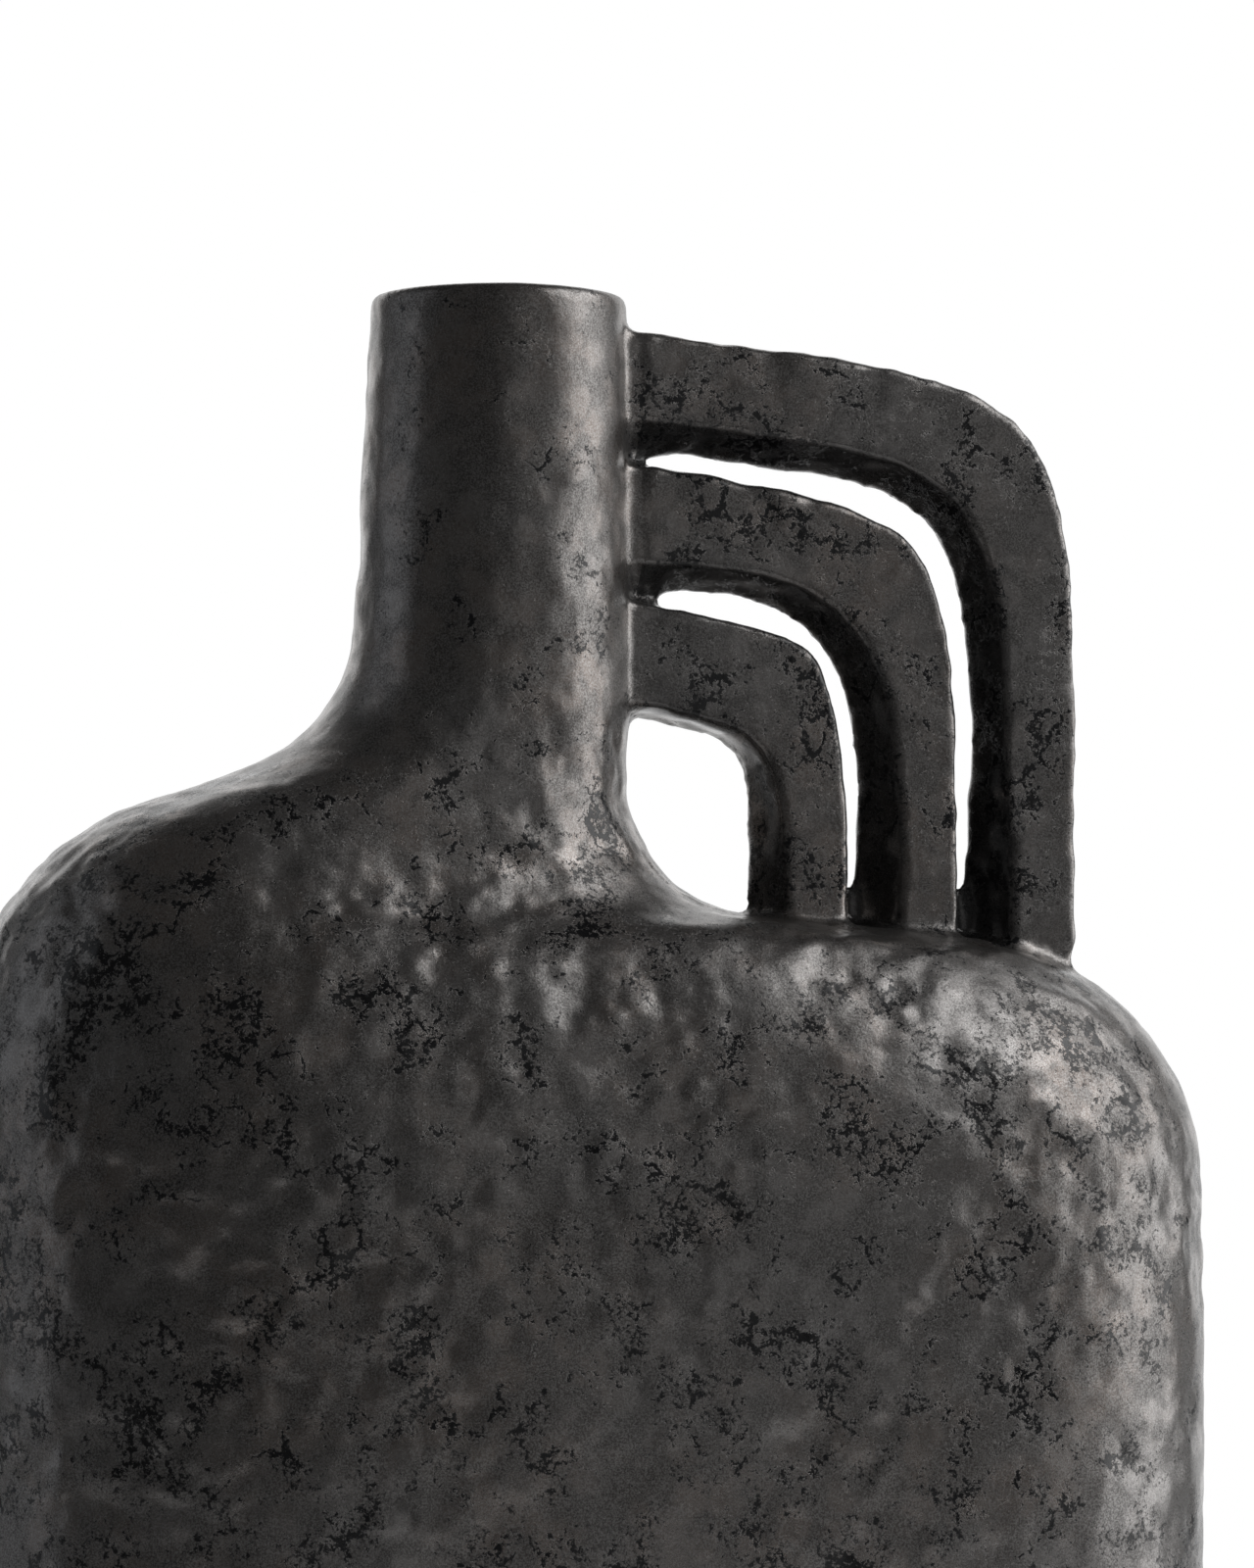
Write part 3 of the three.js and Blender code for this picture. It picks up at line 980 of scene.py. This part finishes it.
@dataclass
class Pieces:
    """Cuts the grown surface into the pieces that the vase is made of."""

    skin: Skin
    base_seam: float = 14.0
    wall_seam: float = 234.5
    neck_seam: float = 323.2
    bottom: float = -10.0
    top: float = 460.0
    far: float = 400.0
    ledge_lift: float = 1.0
    zone_low: float = 200.0
    zone_right: float = 130.0
    zone_half: float = 24.0
    eye_left: float = -50.0
    eye_right: float = 34.0
    eye_top: float = 327.0
    under_left: float = -20.0
    under_low: float = 100.0
    under_bevel: float = 15.0
    skin_reach: float = 0.05
    most_triangles: int = 190000

    def build(self, glaze: bpy.types.Material) -> list[bpy.types.Object]:
        """Cuts all glazed pieces.

        Args:
            glaze: their material.

        Returns:
            The pieces, each riding on the frame in place of its node.
        """
        tree = surface_tree(self.skin.outer)
        zone = self._zone()
        straps = duplicate(self.skin.outer, "straps")
        combine(straps, zone, Solver.KEEP_SHARED)
        rest = duplicate(self.skin.outer, "rest")
        combine(rest, zone, Solver.TAKE_AWAY)
        made = self._cut_handles(straps) + self._cut_shells(rest)
        remove(zone, straps, rest)
        for piece in made:
            self._finish(piece, tree, glaze)
        remove(self.skin.outer, self.skin.cavity)
        return made

    def _zone(self) -> bpy.types.Object:
        """Makes the space that holds the three straps.

        Returns:
            A solid that holds nothing of the neck or the shoulder.
        """
        left = self.skin.ledge_high[0]
        zone = box_between(
            (left, -self.zone_half, self.zone_low), (self.zone_right, self.zone_half, self.top), "zone"
        )
        select_only(zone)
        slope = Vector(self.skin.ledge_low) - Vector(self.skin.ledge_high)
        bpy.ops.object.mode_set(mode="EDIT")
        bpy.ops.mesh.select_all(action="SELECT")
        bpy.ops.mesh.bisect(
            plane_co=(Vector(self.skin.ledge_high) + Vector((0, 0, self.ledge_lift))) * MM,
            plane_no=Vector((-slope.z, 0, slope.x)).normalized(),
            clear_inner=True,
            use_fill=True,
        )
        bpy.ops.object.mode_set(mode="OBJECT")
        eye = box_between(
            (self.eye_left, -self.far, self.zone_low), (self.eye_right, self.far, self.eye_top), "eye"
        )
        combine(zone, eye, Solver.TAKE_AWAY)
        remove(eye)
        return zone

    def _under(self, slot: SlotLine) -> bpy.types.Object:
        """Makes the solid under the middle line of a slot.

        Args:
            slot: the line.

        Returns:
            The solid, a box whose upper outer corner follows the line.
        """
        low, high = (self.under_left, -self.far, self.under_low), (slot.reach, self.far, slot.corner_z)
        under = box_between(low, high, "under")
        waist = (self.under_low + slot.corner_z) / 2 * MM
        chosen = {v.index for v in under.data.vertices if v.co.x > 0 and v.co.z > waist}
        select_only(under)
        bpy.ops.object.mode_set(mode="EDIT")
        bpy.ops.mesh.select_all(action="DESELECT")
        bpy.ops.object.mode_set(mode="OBJECT")
        for edge in under.data.edges:
            edge.select = set(edge.vertices) == chosen
        bpy.ops.object.mode_set(mode="EDIT")
        bpy.ops.mesh.select_mode(type="EDGE")
        bpy.ops.mesh.bevel(offset=self.under_bevel * MM, segments=slot.steps, offset_type="OFFSET")
        bpy.ops.object.mode_set(mode="OBJECT")
        upper = [v for v in under.data.vertices if v.co.z > waist]
        for side in (-1, 1):
            arc = [v for v in upper if v.co.x > 0 and v.co.y * side > 0]
            arc.sort(key=lambda v: v.co.x - v.co.z)
            for step, vertex in enumerate(arc):
                x, z = slot.point(step / slot.steps)
                vertex.co.x, vertex.co.z = x * MM, z * MM
        for vertex in upper:
            if vertex.co.x < 0:
                vertex.co.z = (slot.corner_z + slot.slope * (slot.reach - self.under_left)) * MM
        return under

    def _cut_handles(self, straps: bpy.types.Object) -> list[bpy.types.Object]:
        """Parts the three straps along the middle of the slots.

        Args:
            straps: the straps in one piece.

        Returns:
            The outer, the middle and the inner handle.
        """
        under_outer, under_middle = (self._under(slot) for slot in self.skin.slots)
        outer = duplicate(straps, "outer_handle")
        combine(outer, under_outer, Solver.TAKE_AWAY)
        middle = duplicate(straps, "middle_handle")
        combine(middle, under_outer, Solver.KEEP_SHARED)
        combine(middle, under_middle, Solver.TAKE_AWAY)
        inner = duplicate(straps, "inner_handle")
        combine(inner, under_middle, Solver.KEEP_SHARED)
        remove(under_outer, under_middle)
        made = [outer, middle, inner]
        for piece, node in zip(made, self.skin.handles):
            self.skin.mark_recess(piece)
            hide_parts(node)
        return made

    def _cut_shells(self, rest: bpy.types.Object) -> list[bpy.types.Object]:
        """Slices the vase at its level seams and hollows it.

        Args:
            rest: the vase without its straps.

        Returns:
            The floor slab, the body, the shoulders and the neck.
        """
        seams = [self.bottom, self.base_seam, self.wall_seam, self.neck_seam, self.top]
        names = ("floor_slab", "body", "shoulders", "bottle_neck")
        nodes = ("base", *self.skin.shells)
        made = []
        for name, node, low, high in zip(names, nodes, seams, seams[1:]):
            piece = duplicate(rest, name)
            layer = box_between((-self.far, -self.far, low), (self.far, self.far, high), "layer")
            combine(piece, layer, Solver.KEEP_SHARED)
            remove(layer)
            if node != "base":
                combine(piece, self.skin.cavity, Solver.TAKE_AWAY)
            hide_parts(node)
            made.append(piece)
        return made

    def _finish(self, piece: bpy.types.Object, tree: BVHTree, glaze: bpy.types.Material) -> None:
        """Thins a piece where needed, gives it the normals of the whole skin, and dresses it.

        Args:
            piece: the cut piece.
            tree: the search tree of the whole skin.
            glaze: its material.
        """
        triangles = sum(len(face.vertices) - 2 for face in piece.data.polygons)
        if triangles > self.most_triangles:
            apply_modifier(piece, "DECIMATE", ratio=self.most_triangles / triangles)
        reach = self.skin_reach * MM
        on_skin = [v.index for v in piece.data.vertices if tree.find_nearest(v.co)[3] < reach]
        group = piece.vertex_groups.new(name="skin")
        group.add(on_skin, 1.0, "REPLACE")
        select_only(piece)
        bpy.ops.object.shade_smooth_by_angle(angle=SEAM_ANGLE)
        apply_modifier(
            piece,
            "DATA_TRANSFER",
            object=self.skin.outer,
            use_loop_data=True,
            data_types_loops={"CUSTOM_NORMAL"},
            loop_mapping="POLYINTERP_NEAREST",
            vertex_group="skin",
        )
        piece.data.materials.clear()
        piece.data.materials.append(glaze)
        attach(piece, "root")


@dataclass
class FootRing:
    """The unglazed ring that the vase stands on."""

    edge: float = 0.8

    def build(self, clay: bpy.types.Material) -> bpy.types.Object:
        """Rounds the edges of the ring.

        Args:
            clay: its material.

        Returns:
            The ring, in place of its node.
        """
        ring = merged_copy(["foot_ring"], "foot")
        edge = self.edge * MM
        apply_modifier(ring, "BEVEL", width=edge, segments=2, limit_method="ANGLE", angle_limit=1.0)
        subdivide(ring)
        select_only(ring)
        bpy.ops.object.shade_smooth()
        ring.data.materials.append(clay)
        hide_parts("foot_ring")
        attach(ring, "root")
        return ring


# The studio


@dataclass(frozen=True)
class Lamp:
    """A soft box that faces the vase, in metres and watts; azimuth is the turn from the front towards +X."""

    name: str
    azimuth: float
    elevation: float
    size: Pair
    power: float
    colour: Point = (1, 1, 1)
    away: float = 1.1
    aim_height: float = 0.25

    def add(self) -> None:
        """Adds the lamp to the scene."""
        data = bpy.data.lights.new(self.name, "AREA")
        data.shape = "RECTANGLE"
        data.size, data.size_y = self.size
        data.energy = self.power
        data.color = self.colour
        item = bpy.data.objects.new(self.name, data)
        bpy.context.scene.collection.objects.link(item)
        turn, rise = math.radians(self.azimuth), math.radians(self.elevation)
        back = Vector((math.sin(turn) * math.cos(rise), -math.cos(turn) * math.cos(rise), math.sin(rise)))
        item.location = Vector((0, 0, self.aim_height)) + back * self.away
        item.rotation_euler = back.to_track_quat("Z", "Y").to_euler()


@dataclass
class Studio:
    """Pale floor, soft lights and the camera; the camera's sizes are in millimetres, the rest in metres."""

    aim: Point = (7.4, 0, 296.1)
    turn: float = 12.0
    distance: float = 1038.7
    lens: float = 99.0
    sensor: float = 36.0
    rise: float = 0.05
    clip_end: float = 50.0
    lamps: tuple[Lamp, ...] = (
        Lamp("right_box", 79, 12, (0.76, 1.2), 5.0),
        Lamp("side_fill", 50, 10, (0.3, 1.0), 0.35),
        Lamp("high_box", 86, 46, (0.6, 0.5), 0.9),
        Lamp("shoulder_box", 54, 40, (0.45, 0.5), 1.3),
        Lamp("front_fill", 14, 8, (0.36, 0.9), 0.18),
        Lamp("left_box", -100, 14, (0.8, 1.2), 0.8, (0.88, 0.93, 1.0)),
    )
    backdrop_turn: float = 168.0
    backdrop_rise: float = 0.1
    backdrop_edge: Pair = (0.62, 0.8)
    ambient: float = 0.055
    white: Colour = (1, 1, 1, 1)
    floor_grey: Colour = (0.86, 0.86, 0.86, 1)
    floor_radius: float = 0.65
    floor_edge: Pair = (0.3, 0.62)
    floor_white: float = 0.6
    behind_edge: Pair = (0.05, 0.3)
    glow_before: float = 0.18
    glow_behind: float = 0.7

    def camera(self) -> None:
        """Puts a level camera a little to the left of the front, at the height of the slots."""
        data = bpy.data.cameras.new("camera")
        data.lens = self.lens
        data.sensor_width = self.sensor
        data.shift_y = self.rise
        data.clip_end = self.clip_end
        camera = bpy.data.objects.new("camera", data)
        bpy.context.scene.collection.objects.link(camera)
        turn = math.radians(self.turn)
        back = Vector((-math.sin(turn), -math.cos(turn), 0))
        camera.location = (Vector(self.aim) + back * self.distance) * MM
        camera.rotation_euler = (math.radians(90), 0, -turn)
        bpy.context.scene.camera = camera

    def world(self) -> None:
        """White to the camera and, behind the vase, to reflections; dim to everything else."""
        world = bpy.data.worlds.new("studio")
        bpy.context.scene.world = world
        world.use_nodes = True
        nodes = Nodes(world.node_tree)
        shown, glossy = self.rays(nodes)
        way = nodes.add("ShaderNodeTexCoord", output="Generated")
        turn = math.radians(self.backdrop_turn)
        ahead = nodes.along(way, (math.sin(turn), -math.cos(turn), self.backdrop_rise))
        sheet = nodes.step(ahead, self.backdrop_edge)
        strength = shown + (1 - shown) * (glossy * sheet + self.ambient)
        light = nodes.add("ShaderNodeBackground", None, {"Color": self.white, "Strength": strength})
        nodes.add("ShaderNodeOutputWorld", None, {"Surface": light})

    def rays(self, nodes: Nodes) -> tuple[Socket, Socket]:
        """Tells which rays look at the background.

        Args:
            nodes: the tree that asks.

        Returns:
            1 for rays from the camera or through glass, and 1 for reflected rays.
        """
        camera = nodes.add("ShaderNodeLightPath", output="Is Camera Ray")
        outputs = camera.link.node.outputs
        through = Socket(nodes, outputs["Is Transmission Ray"])
        return nodes.math("MAXIMUM", camera, through), Socket(nodes, outputs["Is Glossy Ray"])

    def floor(self) -> None:
        """A pale round floor that fades into the white behind it."""
        bpy.ops.object.select_all(action="DESELECT")
        bpy.ops.mesh.primitive_circle_add(
            vertices=ROUND_SIDES, radius=self.floor_radius, fill_type="NGON", location=(0, 0, 0)
        )
        floor = bpy.context.active_object
        floor.name = "floor"
        material, nodes, place = new_material("pale_floor")
        away = nodes.add("ShaderNodeVectorMath", {"operation": "LENGTH"}, {0: place}, output="Value")
        shown, glossy = self.rays(nodes)
        behind = nodes.step(nodes.along(place, (0, 1, 0)), self.behind_edge)
        seen = glossy * (self.glow_before + behind * self.glow_behind)
        edge = nodes.step(away, self.floor_edge)
        fade = shown * (self.floor_white + edge * (1 - self.floor_white)) + (1 - shown) * edge * seen
        matte = nodes.add("ShaderNodeBsdfDiffuse", None, {"Color": self.floor_grey})
        white = nodes.add("ShaderNodeEmission", None, {"Color": self.white, "Strength": 1.0})
        mixed = nodes.add("ShaderNodeMixShader", None, {0: fade, 1: matte, 2: white})
        nodes.add("ShaderNodeOutputMaterial", None, {"Surface": mixed})
        floor.data.materials.append(material)

    def build(self) -> None:
        """Builds the whole studio."""
        self.camera()
        for lamp in self.lamps:
            lamp.add()
        self.world()
        self.floor()
        bpy.context.scene.view_settings.view_transform = "Standard"


def main() -> None:
    """Builds the studio and the vase in order, and reports each piece."""
    logging.basicConfig(level=logging.INFO, format="%(name)s %(message)s")
    Studio().build()
    glaze = MetallicGlaze().material()
    clay = BareClay().material()
    skin = Skin()
    skin.build()
    for piece in Pieces(skin).build(glaze) + [FootRing().build(clay)]:
        LOG.info("%s: %d faces", piece.name, len(piece.data.polygons))


if __name__ == "__main__":
    main()
